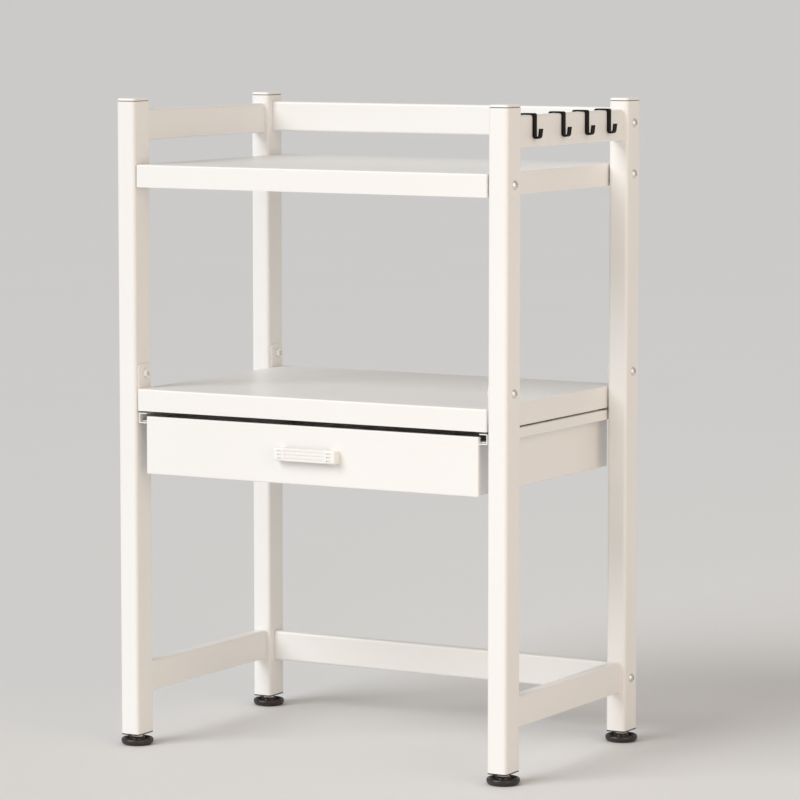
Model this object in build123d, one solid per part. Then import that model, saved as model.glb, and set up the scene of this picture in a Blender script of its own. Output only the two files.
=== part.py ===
from build123d import *

import os

os.makedirs("parts", exist_ok=True)

# Kitchen stand with two shelves and a drawer. Millimetres, +Z up, +X to the right, the front faces -Y.
# The origin is on the floor, midway between the four legs.

# ---- Driving dimensions -------------------------------------------------------------------------
HEIGHT = 800.0  # floor to the top of the leg caps
LEG_PITCH_X = 514.0  # between leg centre lines, left to right
LEG_PITCH_Y = 314.0  # between leg centre lines, front to rear

# Leg tube, a rounded rectangle
LEG_W = 26.0
LEG_D = 36.0
LEG_R = 4.5
LEG_WALL = 1.2
LEG_BOTTOM = 15.0  # height of the tube's lower end above the floor

# Rail tube, used for the side rails and the rear rails
RAIL_W = 15.0
RAIL_H = 38.0
RAIL_R = 3.0
RAIL_WALL = 1.2
TOP_RAIL_DROP = 33.0  # from the stand's top to a top side rail's centre
REAR_TOP_RAIL_DROP = 31.0
BOTTOM_RAIL_Z = 82.5
REAR_BOTTOM_RAIL_Z = 80.0
WELD_BEAD = 0.9

# Leg caps and bottom plugs
CAP_FLANGE = 4.0
CAP_EDGE_R = 2.4
CAP_SEAM_H = 0.8  # shadow gap under the cap's crown
CAP_SEAM_IN = 0.9
CAP_SKIRT = 14.0
CAP_SKIRT_WALL = 1.6
PLUG_FLANGE = 1.5
PLUG_HEIGHT = 20.0
PLUG_FIT = 0.1  # gap between a plastic insert and the tube wall

# Levelling feet
PAD_R = 20.0
PAD_RIM_Z = 8.0
PAD_RIM_W = 2.4
PAD_DISH_Z = 3.6
PAD_DISH_R = 12.5
PAD_HUB_R = 9.0
PAD_HUB_Z = 9.8
PAD_SOCKET_Z = 3.0
STUD_R = 4.0
STUD_LENGTH = 34.0
STUD_CLEARANCE = 0.3
COLLAR_AF = 13.0
COLLAR_H = 2.4

# Frame screws, with button heads
SCREW_R = 3.0
SCREW_SHORT = 0.8  # screw tip inside the end face of the middle shelf's nuts
SCREW_CLEARANCE = 0.3
SCREW_HEAD_R = 5.4
SCREW_HEAD_H = 3.0
SCREW_RIM = 0.6
SCREW_SOCKET_AF = 4.0
SCREW_SOCKET_DEPTH = 1.6
THREAD_CLEARANCE = 0.15

# Shelves, folded from sheet
SHEET = 1.0
SHELF_SPACE = 1.5  # between a shelf's end and the leg, filled by a nut flange or a lug
SHELF_SETBACK = 1.0  # shelf edge behind the leg's front face
SHELF_BEND_R = 2.0
SHELF_CORNER_R = 2.0
SHELF_RETURN = 14.0  # width of the flange turned in under the skirt
TOP_SHELF_DROP = 80.5  # from the stand's top to the top shelf's surface
TOP_SHELF_H = 27.5
BAY_H = 247.0  # clear height between the shelves
MIDDLE_SHELF_H = 27.0
TOP_SCREW_DROP = 13.0  # from the top shelf's surface down to its screws
MIDDLE_SCREW_RISE = 18.0  # from the middle shelf's surface up to its screws

# Hat-section stiffeners under the shelves
STIFF_CROWN = 34.0
STIFF_FLANGE = 12.0
STIFF_H = 12.0
STIFF_END_GAP = 18.0  # from the shelf's end skirt
STIFF_PITCH = 150.0

# Nuts
RIVET_NUT_FLANGE_R = 6.5
RIVET_NUT_BARREL_R = 4.6
RIVET_NUT_LENGTH = 12.0
LUG_W = 26.0
LUG_CORNER_R = 5.0
LUG_DROP = 20.0  # how far a lug reaches down its shelf's skirt
LUG_MARGIN = 12.0  # from a lug's screw to the lug's top edge
LUG_NUT_AF = 10.0
LUG_NUT_H = 5.0
INSERT_LENGTH = 22.0
INSERT_FIT = 0.1

# Drawer runners, C sections open towards the drawer
RUNNER_SHEET = 1.2
RUNNER_W = 11.0
RUNNER_H = 12.7
RUNNER_BEND_R = 1.0
RUNNER_DROP = 2.5  # gap between the shelf and the runner, held by spacers
RUNNER_INSET = 0.2  # runner's rear end in from the shelf's edge
RUNNER_SETBACK = 0.5  # runner ends behind the drawer's front face
SPACER_R = 3.9
RIVET_INSET = 7.0  # rivet line in from the shelf's end
RIVET_R = 2.4
RIVET_HEAD_R = 3.6
RIVET_HEAD_H = 1.2
RIVET_TAIL_R = 3.6
RIVET_TAIL_H = 2.0
RIVET_PITCH = 140.0
RIVETS_PER_RUNNER = 3

# Drawer
DRAWER_WALL_GAP = 4.0  # side wall to the runner's lip
DRAWER_FLOOR_RISE = 0.5  # tray's underside over the front panel's lower edge
DRAWER_REAR_GAP = 1.8  # tray to the rear end of its runners
DRAWER_BEND_R = 1.6
RUNNER_PLAY = 0.6  # drawer flange over the runner's lower lip
FLANGE_PLAY = 1.4  # drawer flange to the runner's web
DRAWER_TRAVEL = 240.0
STOP_GAP = 0.5
STOP_REACH = 5.0
LUG_PLAY = 0.8
END_WALL_DROP = 5.0  # front and rear walls below the side flanges
HEM = 8.0

FRONT_H = 71.0
FRONT_DEPTH = 5.0
FRONT_INSET = 2.0  # drawer front behind the shelf's front edge
FRONT_TOP_GAP = 6.5  # under the shelf's skirt
FRONT_SIDE_GAP = 0.5  # beside the runner's lip
FRONT_EDGE_R = 1.4

# Bow handle
HANDLE_L = 86.0
HANDLE_H = 15.5
HANDLE_RISE = 1.2  # handle's middle over the middle of the drawer's front
HANDLE_DEPTH = 12.0
HANDLE_GRIP = 5.5  # thickness of the grip
HANDLE_POST = 12.0  # length of each end post
HANDLE_EDGE_R = 2.0
GRIP_RECESS = 0.6
GRIP_COLLAR = 6.0
GROOVES = 3
GROOVE_PITCH = 4.4
GROOVE_W = 1.4
GROOVE_DEPTH = 0.8
SLOT_L = 5.5
SLOT_INSET = 9.0  # middle of a slot from the handle's end
SLOT_DEPTH = 1.5
HANDLE_SCREW_R = 2.0
HANDLE_SCREW_HEAD_R = 4.0
HANDLE_SCREW_HEAD_H = 2.2
HANDLE_SCREW_BITE = 7.0

# Strap hooks on the right top rail
HOOK_STRAP = 1.8
HOOK_W = 8.0
HOOK_GAP = 0.3
HOOK_INNER_LEG = 16.0
HOOK_DROP = 27.0  # from the rail's top to the bottom of the curl
HOOK_CURL = 7.0
HOOK_CURL_R = 3.3
HOOK_TIP = 11.0
HOOK_FLARE = 1.4
HOOK_BEND_R = 1.5
HOOK_Y = (-99.0, -25.0, 37.0, 96.0)

# ---- Places that follow from them ---------------------------------------------------------------
LEG_X = LEG_PITCH_X / 2
LEG_Y = LEG_PITCH_Y / 2
LEG_TOP = HEIGHT - CAP_FLANGE
TOP_RAIL_Z = HEIGHT - TOP_RAIL_DROP
REAR_TOP_RAIL_Z = HEIGHT - REAR_TOP_RAIL_DROP
TOP_SHELF_Z = HEIGHT - TOP_SHELF_DROP
MIDDLE_SHELF_Z = TOP_SHELF_Z - TOP_SHELF_H - BAY_H
TOP_SCREW_Z = TOP_SHELF_Z - TOP_SCREW_DROP
MIDDLE_SCREW_Z = MIDDLE_SHELF_Z + MIDDLE_SCREW_RISE
SCREW_LENGTH = LEG_W + SHELF_SPACE + LUG_NUT_H - SCREW_SHORT
LEG_INNER_X = LEG_X - LEG_W / 2
LEG_OUTER_X = LEG_X + LEG_W / 2
SIDE_RAIL_L = LEG_PITCH_Y - LEG_D
REAR_RAIL_L = LEG_PITCH_X - LEG_W
SHELF_HALF_X = LEG_INNER_X - SHELF_SPACE
SHELF_HALF_Y = LEG_Y + LEG_D / 2 - SHELF_SETBACK
RUNNER_TOP = MIDDLE_SHELF_Z - MIDDLE_SHELF_H - RUNNER_DROP
RUNNER_LIP_Z = RUNNER_TOP - RUNNER_H + RUNNER_SHEET
RUNNER_CEILING_Z = RUNNER_TOP - RUNNER_SHEET
RUNNER_LIP_X = SHELF_HALF_X - RUNNER_W
RUNNER_REAR = SHELF_HALF_Y - RUNNER_INSET
FRONT_W = 2 * (RUNNER_LIP_X - FRONT_SIDE_GAP)
FRONT_FACE_Y = FRONT_INSET - SHELF_HALF_Y
FRONT_BOTTOM = MIDDLE_SHELF_Z - MIDDLE_SHELF_H - FRONT_TOP_GAP - FRONT_H
RUNNER_FRONT = FRONT_FACE_Y + RUNNER_SETBACK
DRAWER_HALF_W = RUNNER_LIP_X - DRAWER_WALL_GAP
DRAWER_FRONT = FRONT_FACE_Y + FRONT_DEPTH
DRAWER_REAR = RUNNER_REAR - DRAWER_REAR_GAP
DRAWER_BOTTOM = FRONT_BOTTOM + DRAWER_FLOOR_RISE
DRAWER_FLANGE_Z = RUNNER_LIP_Z + RUNNER_PLAY
DRAWER_FLANGE_X = SHELF_HALF_X - RUNNER_SHEET - FLANGE_PLAY
END_WALL_TOP = DRAWER_FLANGE_Z - END_WALL_DROP
FRONT_MID_Z = FRONT_BOTTOM + FRONT_H / 2
HANDLE_Z = FRONT_MID_Z + HANDLE_RISE
HANDLE_SCREW_X = (HANDLE_L - HANDLE_POST) / 2
SIDES = (("left", -1), ("right", 1))
ENDS = (("front", -1), ("rear", 1))


def save(shape, name):
    export_step(shape, f"parts/{name}.step")


def rounded_tube(width, depth, radius, wall, length):
    """A tube of rounded-rectangle section, along +Z from the origin."""
    outer = RectangleRounded(width, depth, radius)
    inner = RectangleRounded(width - 2 * wall, depth - 2 * wall, radius - wall)
    return extrude(outer - inner, length)


def bent_strip(points, radii, sheet, length):
    """A strip of sheet folded along a centre line in the XZ plane, its width along Y and centred."""
    path = FilletPolyline(*points, radius=radii)
    return extrude(Plane.XZ * trace(path, sheet), length / 2, both=True)


def cross_hole(radius, length, x, y, z):
    return Pos(x, y, z) * Rot(0, 90, 0) * Cylinder(radius, length)


def screw_heights(sy):
    """Heights of the screws through a leg; only the rear legs take the rear rails."""
    rear = (REAR_TOP_RAIL_Z, REAR_BOTTOM_RAIL_Z) if sy > 0 else ()
    return (TOP_SCREW_Z, MIDDLE_SCREW_Z, *rear)


# ---- Side frames --------------------------------------------------------------------------------
def leg(sx, sy):
    x, y = sx * LEG_X, sy * LEG_Y
    tube = Pos(x, y, LEG_BOTTOM) * rounded_tube(LEG_W, LEG_D, LEG_R, LEG_WALL, LEG_TOP - LEG_BOTTOM)
    for z in screw_heights(sy):
        tube -= cross_hole(SCREW_R + SCREW_CLEARANCE, LEG_W + 2, x, y, z)
    return tube


def leg_cap(sx, sy):
    """A moulded cap: a rounded crown on a narrower neck, and a hollow skirt inside the tube."""
    crown = extrude(RectangleRounded(LEG_W, LEG_D, LEG_R), CAP_FLANGE - CAP_SEAM_H)
    crown = fillet(crown.faces().sort_by(Axis.Z)[-1].edges(), CAP_EDGE_R)
    neck = extrude(
        RectangleRounded(LEG_W - 2 * CAP_SEAM_IN, LEG_D - 2 * CAP_SEAM_IN, LEG_R - CAP_SEAM_IN),
        CAP_SEAM_H,
    )
    head = Pos(0, 0, CAP_SEAM_H) * crown + neck
    inset = LEG_WALL + PLUG_FIT
    skirt = rounded_tube(
        LEG_W - 2 * inset, LEG_D - 2 * inset, LEG_R - inset, CAP_SKIRT_WALL, CAP_SKIRT
    )
    return Pos(sx * LEG_X, sy * LEG_Y, LEG_TOP) * (head + Pos(0, 0, -CAP_SKIRT) * skirt)


def leg_plug(sx, sy):
    """A moulded plug in the tube's lower end, with the threaded bore for the foot."""
    flange = extrude(RectangleRounded(LEG_W, LEG_D, LEG_R), -PLUG_FLANGE)
    inset = LEG_WALL + PLUG_FIT
    core = extrude(
        RectangleRounded(LEG_W - 2 * inset, LEG_D - 2 * inset, LEG_R - inset), PLUG_HEIGHT
    )
    bore = Cylinder(STUD_R + STUD_CLEARANCE, 4 * PLUG_HEIGHT)
    return Pos(sx * LEG_X, sy * LEG_Y, LEG_BOTTOM) * (flange + core - bore)


def rail(length, bead):
    """A rail tube along X, centred; welded ends carry a small bead that seats on the leg."""
    tube = rounded_tube(RAIL_W, RAIL_H, RAIL_R, RAIL_WALL, length)
    if bead:
        ring = RectangleRounded(RAIL_W + 2 * bead, RAIL_H + 2 * bead, RAIL_R + bead)
        core = RectangleRounded(RAIL_W - bead, RAIL_H - bead, RAIL_R - bead / 2)
        foot = extrude(ring, bead, taper=45) - extrude(core, bead)
        tube += foot
        tube += Pos(0, 0, length) * Rot(180, 0, 0) * foot
    return Rot(0, 90, 0) * Pos(0, 0, -length / 2) * Rot(0, 0, 90) * tube


def side_rail(sx, z):
    return Pos(sx * LEG_X, 0, z) * Rot(0, 0, 90) * rail(SIDE_RAIL_L, WELD_BEAD)


def rear_rail(z):
    return Pos(0, LEG_Y, z) * rail(REAR_RAIL_L, 0)


def rail_inserts():
    """Threaded blocks in both ends of the two rear rails."""
    blocks = []
    inset = RAIL_WALL + INSERT_FIT
    for z in (REAR_TOP_RAIL_Z, REAR_BOTTOM_RAIL_Z):
        for _, sx in SIDES:
            section = RectangleRounded(RAIL_W - 2 * inset, RAIL_H - 2 * inset, RAIL_R - inset)
            block = extrude(section, INSERT_LENGTH / 2, both=True)
            block -= Cylinder(SCREW_R + THREAD_CLEARANCE, INSERT_LENGTH + 2)
            block = Rot(0, 90, 0) * Rot(0, 0, 90) * block
            blocks.append(Pos(sx * (LEG_INNER_X - INSERT_LENGTH / 2), LEG_Y, z) * block)
    return Compound(children=blocks)


# ---- Feet ---------------------------------------------------------------------------------------
def foot_pad(sx, sy):
    """A dished round pad: raised rim, sunk ring and a hub that holds the stud."""
    rim_in = PAD_R - PAD_RIM_W
    line = Polyline(
        (0, 0),
        (PAD_R - 1.2, 0),
        (PAD_R, 1.2),
        (PAD_R, PAD_RIM_Z - 1),
        (PAD_R - 1, PAD_RIM_Z),
        (rim_in, PAD_RIM_Z),
        (PAD_DISH_R + 1, PAD_DISH_Z),
        (PAD_HUB_R + 1.2, PAD_DISH_Z),
        (PAD_HUB_R, PAD_HUB_Z),
        (STUD_R + STUD_CLEARANCE, PAD_HUB_Z),
        (STUD_R + STUD_CLEARANCE, PAD_SOCKET_Z),
        (0, PAD_SOCKET_Z),
        close=True,
    )
    pad = revolve(Plane.XZ * make_face(line), Axis.Z)
    return Pos(sx * LEG_X, sy * LEG_Y, 0) * pad


def foot_stud(sx, sy):
    """The foot's threaded stud with the hexagon that a spanner turns."""
    stud = Pos(0, 0, PAD_SOCKET_Z) * extrude(Circle(STUD_R), STUD_LENGTH)
    stud = chamfer(stud.edges().sort_by(Axis.Z)[-1], 0.8)
    collar = extrude(RegularPolygon(COLLAR_AF / 2, 6, major_radius=False), COLLAR_H)
    return Pos(sx * LEG_X, sy * LEG_Y, 0) * (stud + Pos(0, 0, PAD_HUB_Z) * collar)


# ---- Fasteners of the frame ---------------------------------------------------------------------
def frame_screw():
    """A button-head screw along +Z, its head seated on the plane Z = 0."""
    dome_mid = (SCREW_HEAD_R * 0.72, SCREW_HEAD_H * 0.78)
    dome = make_face(
        [
            Line((0, 0), (SCREW_HEAD_R, 0)),
            Line((SCREW_HEAD_R, 0), (SCREW_HEAD_R, SCREW_RIM)),
            ThreePointArc((SCREW_HEAD_R, SCREW_RIM), dome_mid, (0, SCREW_HEAD_H)),
            Line((0, SCREW_HEAD_H), (0, 0)),
        ]
    )
    head = revolve(Plane.XZ * dome, Axis.Z)
    socket = extrude(RegularPolygon(SCREW_SOCKET_AF / 2, 6, major_radius=False), SCREW_SOCKET_DEPTH + 1)
    head -= Pos(0, 0, SCREW_HEAD_H - SCREW_SOCKET_DEPTH) * socket
    return head + extrude(Circle(SCREW_R), -SCREW_LENGTH)


def frame_screws():
    screws = []
    for _, sx in SIDES:
        for _, sy in ENDS:
            for z in screw_heights(sy):
                turn = Rot(0, 90 * sx, 0)
                screws.append(Pos(sx * LEG_OUTER_X, sy * LEG_Y, z) * turn * frame_screw())
    return Compound(children=screws)


def rivet_nuts():
    """Blind rivet nuts in the top shelf's end skirts; their flanges space it from the legs."""
    nuts = []
    bore = Cylinder(SCREW_R + THREAD_CLEARANCE, 4 * RIVET_NUT_LENGTH)
    for _, sx in SIDES:
        for _, sy in ENDS:
            nut = extrude(Circle(RIVET_NUT_FLANGE_R), SHELF_SPACE)
            nut += extrude(Circle(RIVET_NUT_BARREL_R), -RIVET_NUT_LENGTH)
            nut -= bore
            nuts.append(Pos(sx * SHELF_HALF_X, sy * LEG_Y, TOP_SCREW_Z) * Rot(0, 90 * sx, 0) * nut)
    return Compound(children=nuts)


# ---- Shelves ------------------------------------------------------------------------------------
def shelf(z_top, height, end_hole_r, end_hole_z):
    """A folded pan: rounded bends, a skirt all round and a flange turned in under it."""
    length, depth = 2 * SHELF_HALF_X, 2 * SHELF_HALF_Y
    outer = extrude(RectangleRounded(length, depth, SHELF_CORNER_R), height)
    outer = fillet(outer.faces().sort_by(Axis.Z)[-1].edges(), SHELF_BEND_R)
    hollow = extrude(
        RectangleRounded(length - 2 * SHEET, depth - 2 * SHEET, SHELF_CORNER_R - SHEET),
        height - 2 * SHEET,
    )
    hollow = fillet(hollow.faces().sort_by(Axis.Z)[-1].edges(), SHELF_BEND_R - SHEET)
    lip = SHEET + SHELF_RETURN
    mouth = extrude(RectangleRounded(length - 2 * lip, depth - 2 * lip, SHELF_RETURN / 2), 2 * SHEET)
    pan = outer - Pos(0, 0, SHEET) * hollow - mouth
    pan = Pos(0, 0, z_top - height) * pan
    for _, sx in SIDES:
        for _, sy in ENDS:
            pan -= cross_hole(end_hole_r, 4 * SHEET, sx * SHELF_HALF_X, sy * LEG_Y, end_hole_z)
    return pan


def runner_rivet_places():
    x = SHELF_HALF_X - RIVET_INSET
    first = -RIVET_PITCH * (RIVETS_PER_RUNNER - 1) / 2
    return [(sx * x, first + i * RIVET_PITCH) for _, sx in SIDES for i in range(RIVETS_PER_RUNNER)]


def middle_shelf():
    pan = shelf(MIDDLE_SHELF_Z, MIDDLE_SHELF_H, SCREW_R, MIDDLE_SHELF_Z - MIDDLE_SHELF_H / 2)
    for x, y in runner_rivet_places():
        pan -= Pos(x, y, MIDDLE_SHELF_Z - MIDDLE_SHELF_H) * Cylinder(RIVET_R, 4 * SHEET)
    return pan


def stiffener(z_top, y):
    """A hat section spot-welded under a shelf, its brims against the sheet."""
    brim_y = STIFF_CROWN / 2 + STIFF_FLANGE
    top, low = -SHEET / 2, -STIFF_H + SHEET / 2
    points = [
        (-brim_y, top),
        (-STIFF_CROWN / 2, top),
        (-STIFF_CROWN / 2 + STIFF_H / 3, low),
        (STIFF_CROWN / 2 - STIFF_H / 3, low),
        (STIFF_CROWN / 2, top),
        (brim_y, top),
    ]
    hat = bent_strip(points, SHEET, SHEET, 2 * (SHELF_HALF_X - STIFF_END_GAP))
    return Pos(0, y, z_top - SHEET) * Rot(0, 0, 90) * hat


def shelf_lugs():
    """Plates welded to the middle shelf's end skirts, standing up over it to take screws."""
    lugs = []
    low = MIDDLE_SHELF_Z - LUG_DROP
    height = LUG_DROP + MIDDLE_SCREW_RISE + LUG_MARGIN
    for _, sx in SIDES:
        for _, sy in ENDS:
            x = sx * (SHELF_HALF_X + SHELF_SPACE / 2)
            outline = Plane.YZ * RectangleRounded(LUG_W, height, LUG_CORNER_R)
            plate = Pos(x, sy * LEG_Y, low + height / 2) * extrude(outline, SHELF_SPACE / 2, both=True)
            hole_r = SCREW_R + SCREW_CLEARANCE
            lugs.append(plate - cross_hole(hole_r, 4 * SHELF_SPACE, x, sy * LEG_Y, MIDDLE_SCREW_Z))
    return Compound(children=lugs)


def lug_nuts():
    nuts = []
    for _, sx in SIDES:
        for _, sy in ENDS:
            nut = extrude(RegularPolygon(LUG_NUT_AF / 2, 6, major_radius=False), -LUG_NUT_H)
            nut -= Cylinder(SCREW_R + THREAD_CLEARANCE, 3 * LUG_NUT_H)
            nuts.append(Pos(sx * SHELF_HALF_X, sy * LEG_Y, MIDDLE_SCREW_Z) * Rot(0, 90 * sx, 0) * nut)
    return Compound(children=nuts)


# ---- Drawer runners -----------------------------------------------------------------------------
def drawer_runner(sx):
    """A C section hung under the shelf, with a front stop and a closed rear end."""
    half = RUNNER_SHEET / 2
    x_out = SHELF_HALF_X - half
    z_low, z_high = RUNNER_TOP - RUNNER_H + half, RUNNER_TOP - half
    points = [(RUNNER_LIP_X, z_low), (x_out, z_low), (x_out, z_high), (RUNNER_LIP_X, z_high)]
    length = RUNNER_REAR - RUNNER_FRONT
    runner = bent_strip(points, RUNNER_BEND_R, RUNNER_SHEET, length)
    runner = Pos(0, (RUNNER_REAR + RUNNER_FRONT) / 2, 0) * runner
    web_x = SHELF_HALF_X - RUNNER_SHEET
    clear = RUNNER_CEILING_Z - RUNNER_LIP_Z
    stop_z = DRAWER_FLANGE_Z + SHEET + LUG_PLAY
    stop = Box(STOP_REACH, RUNNER_SHEET, RUNNER_CEILING_Z - stop_z)
    runner += Pos(web_x - STOP_REACH / 2, stop_y(), (stop_z + RUNNER_CEILING_Z) / 2) * stop
    end = Box(web_x - RUNNER_LIP_X, RUNNER_SHEET, clear)
    runner += Pos((web_x + RUNNER_LIP_X) / 2, RUNNER_REAR - half, RUNNER_LIP_Z + clear / 2) * end
    for x, y in runner_rivet_places():
        if x > 0:
            runner -= Pos(x, y, RUNNER_TOP) * Cylinder(RIVET_R, 4 * RUNNER_SHEET)
    return runner if sx > 0 else mirror(runner, Plane.YZ)


def stop_y():
    """Centre of the runner's stop: the drawer's rear lug meets it at full travel."""
    lug_front = DRAWER_REAR - SHEET
    return lug_front - DRAWER_TRAVEL - STOP_GAP - RUNNER_SHEET / 2


def runner_spacers():
    ring = Circle(SPACER_R) - Circle(RIVET_R)
    return Compound(
        children=[Pos(x, y, RUNNER_TOP) * extrude(ring, RUNNER_DROP) for x, y in runner_rivet_places()]
    )


def runner_rivets():
    rivets = []
    head_z = RUNNER_CEILING_Z - RIVET_HEAD_H
    tail_z = MIDDLE_SHELF_Z - MIDDLE_SHELF_H + SHEET
    for x, y in runner_rivet_places():
        rivet = Pos(0, 0, RUNNER_CEILING_Z) * extrude(Circle(RIVET_HEAD_R), -RIVET_HEAD_H, taper=25)
        rivet += Pos(0, 0, head_z) * extrude(Circle(RIVET_R), tail_z - head_z)
        rivet += Pos(0, 0, tail_z) * extrude(Circle(RIVET_TAIL_R), RIVET_TAIL_H, taper=20)
        rivets.append(Pos(x, y, 0) * rivet)
    return Compound(children=rivets)


# ---- Drawer -------------------------------------------------------------------------------------
def drawer_tray():
    """Floor, side walls and the flanges that run in the runners, folded from one sheet."""
    half = SHEET / 2
    wall_x = DRAWER_HALF_W - half
    flange_z, floor_z = DRAWER_FLANGE_Z + half, DRAWER_BOTTOM + half
    points = [
        (DRAWER_FLANGE_X, flange_z),
        (wall_x, flange_z),
        (wall_x, floor_z),
        (-wall_x, floor_z),
        (-wall_x, flange_z),
        (-DRAWER_FLANGE_X, flange_z),
    ]
    length = DRAWER_REAR - DRAWER_FRONT
    tray = bent_strip(points, DRAWER_BEND_R, SHEET, length)
    tray = Pos(0, (DRAWER_REAR + DRAWER_FRONT) / 2, 0) * tray
    lug_top = RUNNER_CEILING_Z - RIVET_HEAD_H - LUG_PLAY
    lug = Box(DRAWER_FLANGE_X - DRAWER_HALF_W, SHEET, lug_top - DRAWER_FLANGE_Z)
    x, z = (DRAWER_FLANGE_X + DRAWER_HALF_W) / 2, (lug_top + DRAWER_FLANGE_Z) / 2
    for _, sx in SIDES:
        tray += Pos(sx * x, DRAWER_REAR - half, z) * lug
    return tray


def drawer_end(face_y, inward):
    """An end wall welded between the tray's side walls, its top edge hemmed inwards."""
    low = DRAWER_BOTTOM + SHEET
    height = END_WALL_TOP - low
    width = 2 * (DRAWER_HALF_W - SHEET)
    wall = extrude(Plane.XZ * RectangleRounded(width, height, DRAWER_BEND_R), SHEET / 2, both=True)
    wall = Pos(0, face_y + inward * SHEET / 2, low + height / 2) * wall
    hem = Box(width - 2 * DRAWER_BEND_R, HEM, SHEET)
    return wall + Pos(0, face_y + inward * HEM / 2, END_WALL_TOP - SHEET / 2) * hem


def handle_hole(sx):
    """Clearance for a handle screw, through the drawer's front walls."""
    hole = Rot(90, 0, 0) * Cylinder(HANDLE_SCREW_R + SCREW_CLEARANCE, 4 * FRONT_DEPTH)
    return Pos(sx * HANDLE_SCREW_X, DRAWER_FRONT, HANDLE_Z) * hole


def drawer_inner_front():
    return drawer_end(DRAWER_FRONT, 1) - handle_hole(-1) - handle_hole(1)


def drawer_front():
    """A shallow folded panel over the tray's front wall, overlapping the runner ends."""
    panel = Plane.XZ * RectangleRounded(FRONT_W, FRONT_H, FRONT_EDGE_R)
    body = extrude(panel, FRONT_DEPTH)
    body = fillet(body.faces().sort_by(Axis.Y)[0].edges(), FRONT_EDGE_R)
    hollow = extrude(Plane.XZ * Rectangle(FRONT_W - 2 * SHEET, FRONT_H - 2 * SHEET), FRONT_DEPTH - SHEET)
    body -= hollow
    return Pos(0, DRAWER_FRONT, FRONT_MID_Z) * body - handle_hole(-1) - handle_hole(1)


def drawer_handle():
    """A moulded bow pull: grooved grip, a collar each side and slotted end blocks."""
    bow = extrude(Plane.XZ * RectangleRounded(HANDLE_L, HANDLE_H, HANDLE_EDGE_R), HANDLE_DEPTH)
    bow = fillet(bow.faces().sort_by(Axis.Y)[0].edges(), HANDLE_EDGE_R * 0.9)
    gap_l = HANDLE_L - 2 * HANDLE_POST
    gap_depth = HANDLE_DEPTH - HANDLE_GRIP
    bow -= Pos(0, -gap_depth / 2, 0) * Box(gap_l, gap_depth, HANDLE_H + 2)
    grip_l = gap_l - 2 * GRIP_COLLAR / 2
    bow -= Pos(0, -HANDLE_DEPTH, 0) * Box(grip_l, 2 * GRIP_RECESS, HANDLE_H + 2)
    slot_x = HANDLE_L / 2 - SLOT_INSET
    for i in range(GROOVES):
        z = (i - (GROOVES - 1) / 2) * GROOVE_PITCH
        floor_y = -HANDLE_DEPTH + GRIP_RECESS
        bow -= Pos(0, floor_y, z) * Box(grip_l - 2, 2 * GROOVE_DEPTH, GROOVE_W)
        for _, sx in SIDES:
            bow -= Pos(sx * slot_x, -HANDLE_DEPTH, z) * Box(SLOT_L, 2 * SLOT_DEPTH, GROOVE_W)
    for _, sx in SIDES:
        bite = HANDLE_SCREW_BITE + SCREW_CLEARANCE
        bow -= Pos(sx * HANDLE_SCREW_X, -bite / 2, 0) * Rot(90, 0, 0) * Cylinder(
            HANDLE_SCREW_R + THREAD_CLEARANCE, bite
        )
    return Pos(0, FRONT_FACE_Y, HANDLE_Z) * bow


def handle_screws():
    """Screws from inside the tray, through both walls, into the handle's posts."""
    screws = []
    seat_y = DRAWER_FRONT + SHEET
    length = seat_y - FRONT_FACE_Y + HANDLE_SCREW_BITE
    for _, sx in SIDES:
        head = extrude(Circle(HANDLE_SCREW_HEAD_R), HANDLE_SCREW_HEAD_H, taper=35)
        screw = head + extrude(Circle(HANDLE_SCREW_R), -length)
        screws.append(Pos(sx * HANDLE_SCREW_X, seat_y, HANDLE_Z) * Rot(-90, 0, 0) * screw)
    return Compound(children=screws)


# ---- Hooks --------------------------------------------------------------------------------------
def strap_hook(y):
    """A flat strap bent over the rail, down its outer face and out into a small upturned curl."""
    reach = HOOK_GAP + HOOK_STRAP / 2
    x_in, x_out = LEG_X - RAIL_W / 2 - reach, LEG_X + RAIL_W / 2 + reach
    rail_top = TOP_RAIL_Z + RAIL_H / 2
    z_top, z_curl = rail_top + reach, rail_top - HOOK_DROP
    points = [
        (x_in, rail_top - HOOK_INNER_LEG),
        (x_in, z_top),
        (x_out, z_top),
        (x_out, z_curl),
        (x_out + HOOK_CURL, z_curl),
        (x_out + HOOK_CURL + HOOK_FLARE, z_curl + HOOK_TIP),
    ]
    radii = [HOOK_BEND_R, HOOK_BEND_R, HOOK_CURL_R, HOOK_CURL_R]
    return Pos(0, y, 0) * bent_strip(points, radii, HOOK_STRAP, HOOK_W)


# ---- Every piece --------------------------------------------------------------------------------
for end_name, sy in ENDS:
    for side_name, sx in SIDES:
        place = f"{end_name}_{side_name}"
        save(leg(sx, sy), f"leg_{place}")
        save(leg_cap(sx, sy), f"leg_cap_{place}")
        save(leg_plug(sx, sy), f"leg_plug_{place}")
        save(foot_pad(sx, sy), f"foot_pad_{place}")
        save(foot_stud(sx, sy), f"foot_stud_{place}")
for side_name, sx in SIDES:
    save(side_rail(sx, TOP_RAIL_Z), f"top_side_rail_{side_name}")
    save(side_rail(sx, BOTTOM_RAIL_Z), f"bottom_side_rail_{side_name}")
    save(drawer_runner(sx), f"drawer_runner_{side_name}")
save(rear_rail(REAR_TOP_RAIL_Z), "rear_top_rail")
save(rear_rail(REAR_BOTTOM_RAIL_Z), "rear_bottom_rail")
save(rail_inserts(), "rear_rail_inserts")
save(frame_screws(), "frame_screws")
save(rivet_nuts(), "top_shelf_rivet_nuts")
save(shelf(TOP_SHELF_Z, TOP_SHELF_H, RIVET_NUT_BARREL_R, TOP_SCREW_Z), "top_shelf")
save(middle_shelf(), "middle_shelf")
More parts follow.
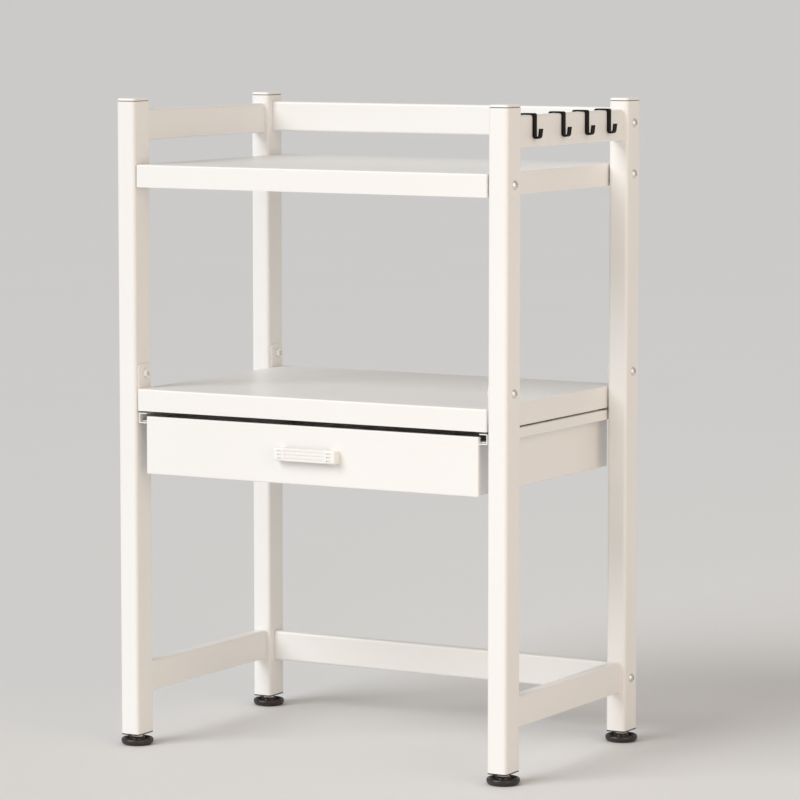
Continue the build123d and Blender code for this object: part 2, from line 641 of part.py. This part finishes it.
for end_name, sy in ENDS:
    save(stiffener(TOP_SHELF_Z, sy * STIFF_PITCH / 2), f"top_shelf_stiffener_{end_name}")
    save(stiffener(MIDDLE_SHELF_Z, sy * STIFF_PITCH / 2), f"middle_shelf_stiffener_{end_name}")
save(shelf_lugs(), "middle_shelf_lugs")
save(lug_nuts(), "middle_shelf_nuts")
save(runner_spacers(), "runner_spacers")
save(runner_rivets(), "runner_rivets")
save(drawer_tray(), "drawer_tray")
save(drawer_inner_front(), "drawer_inner_front")
save(drawer_end(DRAWER_REAR, -1), "drawer_back")
save(drawer_front(), "drawer_front")
save(drawer_handle(), "drawer_handle")
save(handle_screws(), "handle_screws")
for number, y in enumerate(HOOK_Y, 1):
    save(strap_hook(y), f"hook_{number}")
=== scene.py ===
import math

import bmesh
import bpy
from mathutils import Matrix, Vector


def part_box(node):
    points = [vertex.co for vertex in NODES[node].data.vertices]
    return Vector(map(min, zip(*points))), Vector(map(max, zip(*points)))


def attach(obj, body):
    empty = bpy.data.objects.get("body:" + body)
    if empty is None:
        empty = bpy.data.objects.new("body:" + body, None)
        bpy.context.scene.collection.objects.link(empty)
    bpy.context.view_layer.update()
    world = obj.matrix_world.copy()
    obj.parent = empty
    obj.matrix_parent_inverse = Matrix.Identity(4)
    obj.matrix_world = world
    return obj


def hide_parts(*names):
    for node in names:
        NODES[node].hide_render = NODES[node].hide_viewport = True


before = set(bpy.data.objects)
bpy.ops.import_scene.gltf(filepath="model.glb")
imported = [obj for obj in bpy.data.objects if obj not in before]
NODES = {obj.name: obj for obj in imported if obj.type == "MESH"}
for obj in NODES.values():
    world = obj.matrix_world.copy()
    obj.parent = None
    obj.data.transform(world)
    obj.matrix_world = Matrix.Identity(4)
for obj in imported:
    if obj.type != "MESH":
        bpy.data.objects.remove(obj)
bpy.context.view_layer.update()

MM = 0.001
SIDES = ("left", "right")
ENDS = ("front", "rear")

# Camera, in millimetres and degrees, in the frame of the part
CAMERA_AT = (2439.7, -4275.3, 942.1)
CAMERA_AZIMUTH = 29.42
CAMERA_PITCH = 5.964
CAMERA_LENS = 180.52
CAMERA_SENSOR = 36.0
CAMERA_NEAR = 0.1  # metres
CAMERA_FAR = 1000.0  # metres

# Studio: places and sizes in metres, powers in Blender's own units
STUDIO_COLOUR = (1.0, 0.985, 0.965)
STUDIO_STRENGTH = 0.45
LIGHT_AIM = (0.0, 0.0, 0.4)
KEY_AT = (-1.9, -4.0, 3.5)
KEY_STRENGTH = 1.92
KEY_COLOUR = (0.955, 0.975, 1.0)
KEY_ANGLE = 40.0  # degrees across, for soft shadows
FILL_AT = (3.9, -1.9, 1.6)
FILL_POWER = 68.0
FILL_COLOUR = (1.0, 0.765, 0.555)
FILL_SIZE = 4.4
FLOOR_RADIUS = 300.0
FLOOR_STEPS = 96
FLOOR_DROP = 0.2 * MM  # keeps it clear of the feet's undersides

# Colours: the two tones that each material drifts between
WHITE_COAT = ((0.86, 0.85, 0.83), (0.845, 0.832, 0.808))
BLACK_COAT = ((0.005, 0.0045, 0.004), (0.008, 0.007, 0.0065))
WHITE_MOULDING = ((0.87, 0.86, 0.835), (0.85, 0.84, 0.81))
BLACK_MOULDING = ((0.02, 0.0135, 0.011), (0.028, 0.02, 0.016))
BRIGHT_ZINC = ((0.74, 0.73, 0.71), (0.86, 0.85, 0.83))
# Zinc darkened nearly to black: painted shade for the runner spacers, which sit in shadow
SHADED_ZINC = ((0.07, 0.065, 0.06), (0.11, 0.105, 0.1))
FLOOR_TONES = ((0.778, 0.77, 0.758), (0.784, 0.776, 0.764))
FLOOR_COLOUR = (0.78, 0.772, 0.76)

# The part of a noise value's range that most of the surface lies in
NOISE_LOW = 0.3
NOISE_HIGH = 0.7

# Sockets of a Mix node that is set to colours
MIX_FACTOR = 0
MIX_FIRST = 6
MIX_SECOND = 7
MIX_RESULT = 2

# Painted shade in the seam under the crown of a leg's cap
CAP_SEAM_RISE = 0.4 * MM  # middle of the seam above the leg's upper end
CAP_SEAM_HALF = 0.5 * MM
# Painted shade: the dark colour given to the seam under a cap's crown
SEAM_SHADE = (0.06, 0.05, 0.04)

# Welds round the ends of the side rails
RAIL_R = 3.0 * MM
WELD_SEAT = 0.9 * MM  # the plain bead that the rail's node already has
WELD_SIZE = 1.9 * MM
WELD_SINK = 0.2 * MM
WELD_STEP = 0.6 * MM
WELD_RIPPLE_PITCH = 2.4 * MM
WELD_RIPPLE = 0.14  # half the difference between crest and trough, as a share of WELD_SIZE
WELD_SIDES = 5

# Thread of the feet's studs
THREAD_ROOT = 3.98 * MM
THREAD_H = 0.26 * MM
THREAD_PITCH = 1.25 * MM
THREAD_BASE = 0.9  # width of the thread at its root, as a share of its pitch
THREAD_START = 9.8 * MM  # above the stud's lower end
THREAD_END = 1.0 * MM  # below the stud's upper end
THREAD_STEPS = 24

# Half section of a foot's pad, radius and height in millimetres, from the middle of its underside
PAD_SECTION = (
    (0, 0), (16.6, 0), (18.0, 0.6), (19.2, 1.9), (19.9, 3.7), (20, 5.2), (19.7, 6.6), (19.0, 7.6),
    (18.1, 8), (17.2, 7.7), (16.2, 6.6), (14.8, 4.9), (13.4, 3.9), (12, 3.6), (10.6, 3.7),
    (9.8, 4.4), (9.3, 6.2), (9.0, 9.0), (8.3, 9.8), (4.3, 9.8), (4.3, 3), (0, 3),
)
PAD_STEPS = 72
PAD_SHARP = 40.0  # degrees


# ---- Materials ----------------------------------------------------------------------------------
class Shader:
    """A node material with a Principled shader and the part's own coordinates in metres."""

    def __init__(self, name, colour, roughness, metallic=0.0):
        self.material = bpy.data.materials.new(name)
        self.material.use_nodes = True
        self.tree = self.material.node_tree
        self.shader = self.tree.nodes["Principled BSDF"]
        self.shader.inputs["Base Color"].default_value = (*colour, 1.0)
        self.shader.inputs["Roughness"].default_value = roughness
        self.shader.inputs["Metallic"].default_value = metallic
        self.place = self.add("ShaderNodeTexCoord").outputs["Object"]

    def add(self, kind, **settings):
        """A new node, each setting being one of its inputs or else one of its properties."""
        node = self.tree.nodes.new(kind)
        for key, value in settings.items():
            if key in node.inputs:
                node.inputs[key].default_value = value
            else:
                setattr(node, key, value)
        return node

    def link(self, source, target):
        self.tree.links.new(source, target)

    def noise(self, scale, detail=2.0, stretch=(1, 1, 1)):
        """A noise value, scale in features per metre."""
        mapping = self.add("ShaderNodeMapping", Scale=stretch)
        self.link(self.place, mapping.inputs["Vector"])
        node = self.add("ShaderNodeTexNoise", Scale=scale, Detail=detail)
        self.link(mapping.outputs["Vector"], node.inputs["Vector"])
        return node.outputs["Fac"]

    def spread(self, value, low, high):
        """A noise value, spread from low to high."""
        node = self.add("ShaderNodeMapRange")
        keys = ("From Min", "From Max", "To Min", "To Max")
        for key, number in zip(keys, (NOISE_LOW, NOISE_HIGH, low, high)):
            node.inputs[key].default_value = number
        self.link(value, node.inputs["Value"])
        return node.outputs["Result"]

    def mix(self, factor, first, second):
        """The colour between two colours, each one a tuple or a node's output."""
        node = self.add("ShaderNodeMix", data_type="RGBA")
        for socket, colour in ((MIX_FIRST, first), (MIX_SECOND, second)):
            if isinstance(colour, tuple):
                node.inputs[socket].default_value = (*colour, 1.0)
            else:
                self.link(colour, node.inputs[socket])
        self.link(factor, node.inputs[MIX_FACTOR])
        return node.outputs[MIX_RESULT]

    def drift(self, first, second, scale, detail=2.0):
        """A colour that drifts between two tones over the surface."""
        return self.mix(self.spread(self.noise(scale, detail), 0.0, 1.0), first, second)

    def tint(self, colour):
        self.link(colour, self.shader.inputs["Base Color"])

    def rough(self, value, low, high):
        self.link(self.spread(value, low, high), self.shader.inputs["Roughness"])

    def bump(self, value, height, strength):
        """Relief from a value, its height in metres."""
        node = self.add("ShaderNodeBump", Strength=strength, Distance=height)
        self.link(value, node.inputs["Height"])
        self.link(node.outputs["Normal"], self.shader.inputs["Normal"])


def powder_coat(name, colour, shade, gloss=0.5):
    """Satin powder coat: a fine orange peel and a faint drift of its tone."""
    coat = Shader(name, colour, 0.4)
    coat.tint(coat.drift(colour, shade, scale=5.0))
    coat.rough(coat.noise(scale=60.0, detail=4.0), 0.34, 0.44)
    coat.bump(coat.noise(scale=700.0, detail=3.0), height=0.05 * MM, strength=0.35)
    coat.shader.inputs["Specular IOR Level"].default_value = gloss
    coat.shader.inputs["Coat Weight"].default_value = 0.24 * gloss
    coat.shader.inputs["Coat Roughness"].default_value = 0.25
    return coat.material


def moulded_plastic(name, colour, shade, roughness, grain):
    """Injection-moulded plastic with a fine spark-eroded grain."""
    plastic = Shader(name, colour, roughness)
    plastic.tint(plastic.drift(colour, shade, scale=40.0))
    plastic.rough(plastic.noise(scale=150.0, detail=3.0), roughness * 0.85, roughness * 1.15)
    plastic.bump(plastic.noise(scale=2200.0), height=0.03 * MM, strength=grain)
    return plastic.material


def cap_plastic(name, colour, shade, seam_z):
    """White moulded plastic with painted shade, a dark line in the seam under a cap's crown."""
    cap = Shader(name, colour, 0.42)
    split = cap.add("ShaderNodeSeparateXYZ")
    cap.link(cap.place, split.inputs["Vector"])
    seam = cap.add("ShaderNodeMath", operation="COMPARE")
    cap.link(split.outputs["Z"], seam.inputs[0])
    seam.inputs[1].default_value = seam_z
    seam.inputs[2].default_value = CAP_SEAM_HALF
    # Paints the seam's shade into the base colour as a dark line round the cap
    cap.tint(cap.mix(seam.outputs["Value"], cap.drift(colour, shade, scale=40.0), SEAM_SHADE))
    cap.rough(cap.noise(scale=150.0, detail=3.0), 0.36, 0.48)
    cap.bump(cap.noise(scale=2200.0), height=0.03 * MM, strength=0.25)
    return cap.material


def zinc_steel(name, dull, bright):
    """Zinc plating between two tones, with fine drawn marks."""
    zinc = Shader(name, bright, 0.38, metallic=1.0)
    zinc.tint(zinc.drift(dull, bright, scale=300.0, detail=3.0))
    zinc.rough(zinc.noise(scale=900.0, detail=3.0), 0.3, 0.46)
    marks = zinc.noise(scale=1500.0, stretch=(1.0, 0.2, 1.0))
    zinc.bump(marks, height=0.02 * MM, strength=0.3)
    return zinc.material


def pale_floor(name):
    """A plain matt floor."""
    floor = Shader(name, FLOOR_COLOUR, 0.66)
    floor.tint(floor.drift(*FLOOR_TONES, scale=1.3))
    floor.rough(floor.noise(scale=9.0), 0.64, 0.7)
    return floor.material


# ---- Materials of the frame's nodes -------------------------------------------------------------
def dress(material, *nodes):
    for node in nodes:
        mesh = NODES[node].data
        mesh.materials.clear()
        mesh.materials.append(material)


def by_place(prefix):
    """The names of a piece that each of the four legs has."""
    return [f"{prefix}_{end}_{side}" for end in ENDS for side in SIDES]


def by_side(*prefixes):
    return [f"{prefix}_{side}" for prefix in prefixes for side in SIDES]


def by_end(*prefixes):
    return [f"{prefix}_{end}" for prefix in prefixes for end in ENDS]


def dress_frame():
    """Dresses every node and returns the materials that the scene's own pieces share."""
    white = powder_coat("white_powder_coat", *WHITE_COAT)
    white_plastic = moulded_plastic("white_plastic", *WHITE_MOULDING, roughness=0.42, grain=0.25)
    black_plastic = moulded_plastic("black_plastic", *BLACK_MOULDING, roughness=0.36, grain=0.5)
    black_steel = powder_coat("black_coat", *BLACK_COAT, gloss=0.06)
    zinc = zinc_steel("zinc_steel", *BRIGHT_ZINC)
    shaded_zinc = zinc_steel("shaded_zinc", *SHADED_ZINC)
    seam_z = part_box("leg_front_left")[1].z + CAP_SEAM_RISE
    caps = cap_plastic("cap_plastic", *WHITE_MOULDING, seam_z)
    dress(white, *by_place("leg"))
    dress(white, *by_side("bottom_side_rail", "drawer_runner", "top_side_rail"))
    dress(white, *by_end("middle_shelf_stiffener", "top_shelf_stiffener"))
    dress(white, "rear_top_rail", "rear_bottom_rail", "top_shelf", "middle_shelf")
    dress(white, "middle_shelf_lugs", "middle_shelf_nuts")
    dress(white, "drawer_tray", "drawer_inner_front", "drawer_back", "drawer_front")
    dress(white_plastic, "drawer_handle")
    dress(caps, *by_place("leg_cap"))
    dress(black_plastic, *by_place("leg_plug"), *by_place("foot_pad"))
    dress(zinc, *by_place("foot_stud"))
    dress(zinc, "frame_screws", "rear_rail_inserts", "top_shelf_rivet_nuts")
    dress(zinc, "runner_rivets", "handle_screws")
    # The spacers take the darkened zinc as painted shade
    dress(shaded_zinc, "runner_spacers")
    dress(black_steel, "hook_1", "hook_2", "hook_3", "hook_4")
    return white, black_plastic, zinc


# ---- Pieces of the scene ------------------------------------------------------------------------
def mesh_from(name, build):
    """The mesh of a finished bmesh, its faces turned outwards."""
    bmesh.ops.recalc_face_normals(build, faces=build.faces)
    mesh = bpy.data.meshes.new(name)
    build.to_mesh(mesh)
    build.free()
    return mesh


def new_piece(name, mesh, material, body):
    """A piece of the scene that moves with a body of the frame."""
    piece = bpy.data.objects.new(name, mesh)
    bpy.context.scene.collection.objects.link(piece)
    mesh.materials.append(material)
    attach(piece, body)
    return piece


def rounded_outline(width, height, radius, step):
    """Points round a rounded rectangle with their outward directions, about one step apart."""
    points = []
    for corner in range(4):
        turn = corner * math.pi / 2
        side_x = (1, -1, -1, 1)[corner]
        side_z = (1, 1, -1, -1)[corner]
        centre = Vector((side_x * (width / 2 - radius), side_z * (height / 2 - radius)))
        arc = max(3, round(radius * math.pi / 2 / step))
        for i in range(arc + 1):
            angle = turn + math.pi / 2 * i / arc
            out = Vector((math.cos(angle), math.sin(angle)))
            points.append((centre + out * radius, out))
        straight = (height if corner % 2 else width) - 2 * radius
        ahead = Vector((-math.sin(turn + math.pi / 2), math.cos(turn + math.pi / 2)))
        count = max(2, round(straight / step))
        start, out = points[-1]
        points.extend((start + ahead * straight * i / count, out) for i in range(1, count))
    return points


def weld_bead(name, material, centre, width, height, face_y, away):
    """A rippled fillet weld round a rail's end, against the leg's face at face_y."""
    build = bmesh.new()
    rings = []
    for i, (point, out) in enumerate(rounded_outline(width, height, RAIL_R, WELD_STEP)):
        ripple = math.cos(2 * math.pi * i * WELD_STEP / WELD_RIPPLE_PITCH)
        size = WELD_SIZE * (1 - WELD_RIPPLE + WELD_RIPPLE * ripple)
        ring = []
        for j in range(WELD_SIDES + 1):
            angle = math.pi / 2 * j / WELD_SIDES
            at = point + out * (size * math.cos(angle) - WELD_SINK)
            y = face_y + away * (size * math.sin(angle) - WELD_SINK)
            ring.append(build.verts.new((centre.x + at.x, y, centre.z + at.y)))
        rings.append(ring)
    for first, second in zip(rings, rings[1:] + rings[:1]):
        for j in range(WELD_SIDES):
            build.faces.new((first[j], first[j + 1], second[j + 1], second[j]))
    mesh = mesh_from(name, build)
    mesh.shade_smooth()
    return new_piece(name, mesh, material, "frame")


def make_welds(material):
    """A weld at both ends of each side rail."""
    for level in ("top", "bottom"):
        for side in SIDES:
            low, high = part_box(f"{level}_side_rail_{side}")
            centre = (low + high) / 2
            width, height = high.x - low.x - 2 * WELD_SEAT, high.z - low.z - 2 * WELD_SEAT
            for end, face_y, away in (("front", low.y, 1), ("rear", high.y, -1)):
                name = f"weld_{level}_{end}_{side}"
                weld_bead(name, material, centre, width, height, face_y, away)


def thread_mesh(name, centre, bottom, top):
    """A screw thread that fades in and out over one turn."""
    build = bmesh.new()
    steps = round((top - bottom) / THREAD_PITCH * THREAD_STEPS)
    rows = []
    for i in range(steps + 1):
        angle = 2 * math.pi * i / THREAD_STEPS
        z = bottom + THREAD_PITCH * i / THREAD_STEPS
        fade = min(1.0, i / THREAD_STEPS, (steps - i) / THREAD_STEPS)
        row = []
        for height, rise in ((0.0, -0.5), (THREAD_H * fade, 0.0), (0.0, 0.5)):
            radius = THREAD_ROOT + height
            at = (centre.x + radius * math.cos(angle), centre.y + radius * math.sin(angle))
            row.append(build.verts.new((*at, z + rise * THREAD_PITCH * THREAD_BASE)))
        rows.append(row)
    for first, second in zip(rows, rows[1:]):
        for j in range(2):
            build.faces.new((first[j], second[j], second[j + 1], first[j + 1]))
    return mesh_from(name, build)


def make_threads(material):
    """The rolled thread on each foot's stud, above its collar."""
    for end in ENDS:
        for side in SIDES:
            low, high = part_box(f"foot_stud_{end}_{side}")
            centre = (low + high) / 2
            name = f"stud_thread_{end}_{side}"
            mesh = thread_mesh(name, centre, low.z + THREAD_START, high.z - THREAD_END)
            new_piece(name, mesh, material, f"foot_{end}_{side}")


def pad_mesh(name, centre, underside):
    """The pad's section turned about a foot's axis, with one vertex where it meets the axis."""
    build = bmesh.new()
    rings = []
    for radius, z in PAD_SECTION:
        ring = []
        for i in range(PAD_STEPS if radius else 1):
            angle = 2 * math.pi * i / PAD_STEPS
            x = centre.x + radius * MM * math.cos(angle)
            y = centre.y + radius * MM * math.sin(angle)
            ring.append(build.verts.new((x, y, underside + z * MM)))
        rings.append(ring)
    for first, second in zip(rings, rings[1:]):
        for i in range(PAD_STEPS):
            places = ((first, i), (first, i + 1), (second, i + 1), (second, i))
            corners = [ring[k % len(ring)] for ring, k in places]
            build.faces.new(list(dict.fromkeys(corners)))
    mesh = mesh_from(name, build)
    mesh.shade_smooth()
    mesh.set_sharp_from_angle(angle=math.radians(PAD_SHARP))
    return mesh


def make_pads(material):
    """Each foot's pad, turned, with the rounded rim of a moulding."""
    for place in by_place("foot_pad"):
        low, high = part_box(place)
        name = place.replace("foot_pad", "pad")
        mesh = pad_mesh(name, (low + high) / 2, low.z)
        piece = new_piece(name, mesh, material, place.replace("foot_pad", "foot"))
        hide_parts(place)


# ---- Stage, light and camera --------------------------------------------------------------------
def make_floor():
    """A wide round floor, so that no edge of it shows behind the stand."""
    mesh = bpy.data.meshes.new("floor")
    build = bmesh.new()
    bmesh.ops.create_circle(build, cap_ends=True, segments=FLOOR_STEPS, radius=FLOOR_RADIUS)
    build.to_mesh(mesh)
    build.free()
    mesh.materials.append(pale_floor("pale_floor"))
    floor = bpy.data.objects.new("floor", mesh)
    floor.location.z = -FLOOR_DROP
    bpy.context.scene.collection.objects.link(floor)


def make_world():
    """Even light from all round, and colours shown without a film look."""
    bpy.context.scene.view_settings.view_transform = "Standard"
    world = bpy.data.worlds.new("studio")
    bpy.context.scene.world = world
    world.use_nodes = True
    background = world.node_tree.nodes["Background"]
    background.inputs["Color"].default_value = (*STUDIO_COLOUR, 1.0)
    background.inputs["Strength"].default_value = STUDIO_STRENGTH


def light(kind, name, place, energy, colour):
    """A lamp that points at the stand's middle."""
    data = bpy.data.lights.new(name, kind)
    data.energy = energy
    data.color = colour
    lamp = bpy.data.objects.new(name, data)
    lamp.location = place
    lamp.rotation_mode = "QUATERNION"
    lamp.rotation_quaternion = (Vector(LIGHT_AIM) - Vector(place)).to_track_quat("-Z", "Y")
    bpy.context.scene.collection.objects.link(lamp)
    return data


def make_lights():
    """A broad key from the front left, which lights the far floor too, and a warm right fill."""
    key = light("SUN", "key", KEY_AT, KEY_STRENGTH, KEY_COLOUR)
    key.angle = math.radians(KEY_ANGLE)
    fill = light("AREA", "side_fill", FILL_AT, FILL_POWER, FILL_COLOUR)
    fill.shape = "DISK"
    fill.size = FILL_SIZE


def make_camera():
    """The photo's camera, looking along its azimuth and down by its pitch."""
    data = bpy.data.cameras.new("camera")
    data.lens = CAMERA_LENS
    data.sensor_width = CAMERA_SENSOR
    data.sensor_fit = "HORIZONTAL"
    data.clip_start = CAMERA_NEAR
    data.clip_end = CAMERA_FAR
    camera = bpy.data.objects.new("camera", data)
    azimuth, pitch = math.radians(CAMERA_AZIMUTH), math.radians(CAMERA_PITCH)
    right = Vector((math.cos(azimuth), math.sin(azimuth), 0.0))
    ahead = Vector((
        -math.sin(azimuth) * math.cos(pitch),
        math.cos(azimuth) * math.cos(pitch),
        -math.sin(pitch),
    ))
    up = right.cross(ahead)
    turn = Matrix((right, up, -ahead)).transposed().to_4x4()
    camera.matrix_world = Matrix.Translation(Vector(CAMERA_AT) * MM) @ turn
    bpy.context.scene.collection.objects.link(camera)
    bpy.context.scene.camera = camera


make_camera()
make_world()
make_lights()
make_floor()
white_coat, black_moulding, bright_zinc = dress_frame()
make_welds(white_coat)
make_threads(bright_zinc)
make_pads(black_moulding)
